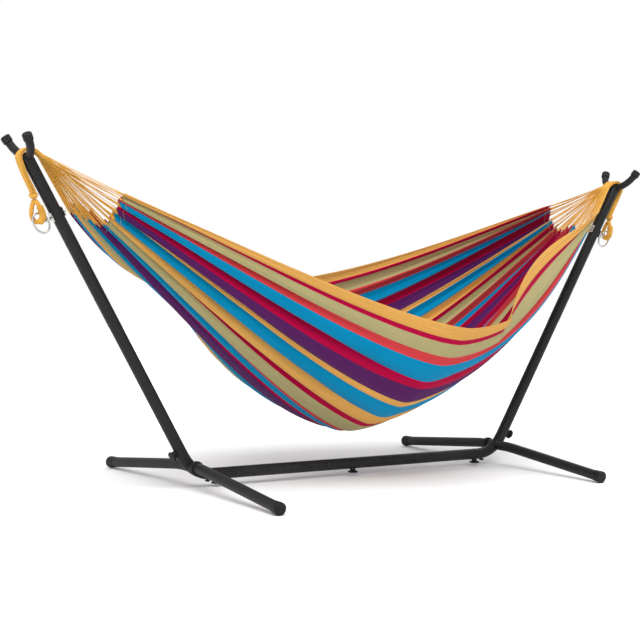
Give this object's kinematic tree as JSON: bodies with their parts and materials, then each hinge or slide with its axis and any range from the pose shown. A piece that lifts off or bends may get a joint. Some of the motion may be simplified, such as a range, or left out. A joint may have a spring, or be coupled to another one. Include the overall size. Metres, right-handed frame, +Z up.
{
  "type": "hammock on stand",
  "caption": "Free-standing steel hammock stand with a striped cloth hammock slung between its two angled arms on hooks and cords.",
  "frame": {"origin": "on the floor, under the middle of the stand", "axes": "+X along the hammock towards its right-hand end, +Y to the back, +Z up"},
  "size_m": [2.4836, 1.1226, 1.0908],
  "materials": {
    "powder_coat": "fine-textured charcoal powder coat",
    "black_plastic": "moulded, slight grain",
    "zinc_plate": "bright zinc plate",
    "cotton_cord": "twisted golden cord",
    "woven_cloth": "striped hand-woven cotton"
  },
  "bodies": {
    "stand": {"centre_beam": "powder_coat", "left_arm": "powder_coat", "left_back_prong_cap": "black_plastic", "left_elbow": "powder_coat", "left_elbow_bolt": "black_plastic", "left_eye_bolt": "zinc_plate", "left_eye_nut": "zinc_plate", "left_fork": "powder_coat", "left_front_prong_cap": "black_plastic", "left_hanging_loop": "cotton_cord", "left_inner_hook_plate": "zinc_plate", "left_leg_collar": "black_plastic", "left_long_leg": "powder_coat", "left_long_leg_foot_cap": "black_plastic", "left_loop_tie": "cotton_cord", "left_loop_whipping": "cotton_cord", "left_outer_hook_plate": "zinc_plate", "left_s_hook": "zinc_plate", "left_saddle_ropes": "cotton_cord", "left_short_leg": "powder_coat", "left_short_leg_foot_cap": "black_plastic", "right_arm": "powder_coat", "right_back_prong_cap": "black_plastic", "right_elbow": "powder_coat", "right_elbow_bolt": "black_plastic", "right_eye_bolt": "zinc_plate", "right_eye_nut": "zinc_plate", "right_fork": "powder_coat", "right_front_prong_cap": "black_plastic", "right_hanging_loop": "cotton_cord", "right_inner_hook_plate": "zinc_plate", "right_leg_collar": "black_plastic", "right_long_leg": "powder_coat", "right_long_leg_foot_cap": "black_plastic", "right_loop_tie": "cotton_cord", "right_loop_whipping": "cotton_cord", "right_outer_hook_plate": "zinc_plate", "right_s_hook": "zinc_plate", "right_saddle_ropes": "cotton_cord", "right_short_leg": "powder_coat", "right_short_leg_foot_cap": "black_plastic"},
    "hammock": {"hammock_bed": "woven_cloth", "left_suspension_strings": "cotton_cord", "right_suspension_strings": "cotton_cord"},
    "left_knob": {"left_clamp_knob": "black_plastic", "left_clamp_bolt": "zinc_plate"},
    "right_knob": {"right_clamp_knob": "black_plastic", "right_clamp_bolt": "zinc_plate"},
    "left_foot": {"left_foot_pad": "black_plastic", "left_foot_stud": "zinc_plate"},
    "centre_foot": {"centre_foot_pad": "black_plastic", "centre_foot_stud": "zinc_plate"},
    "right_foot": {"right_foot_pad": "black_plastic", "right_foot_stud": "zinc_plate"}
  },
  "joints": [
    {"name": "hammock_swing", "type": "hinge", "parent": "stand", "child": "hammock", "pos_m": [0, 0, 1.035], "axis": [1, 0, 0], "range_deg": [-25, 25]},
    {"name": "left_knob_turn", "type": "hinge", "parent": "stand", "child": "left_knob", "pos_m": [-0.66752, 0, 0.12193], "axis": [-0.8634, 0, -0.5045], "continuous": true},
    {"name": "right_knob_turn", "type": "hinge", "parent": "stand", "child": "right_knob", "pos_m": [0.66752, 0, 0.12193], "axis": [0.8634, 0, -0.5045], "continuous": true},
    {"name": "left_foot_turn", "type": "hinge", "parent": "stand", "child": "left_foot", "pos_m": [-0.534, 0, 0.0105], "axis": [0, 0, 1], "continuous": true},
    {"name": "centre_foot_turn", "type": "hinge", "parent": "stand", "child": "centre_foot", "pos_m": [0, 0, 0.0105], "axis": [0, 0, 1], "continuous": true},
    {"name": "right_foot_turn", "type": "hinge", "parent": "stand", "child": "right_foot", "pos_m": [0.534, 0, 0.0105], "axis": [0, 0, 1], "continuous": true}
  ]
}
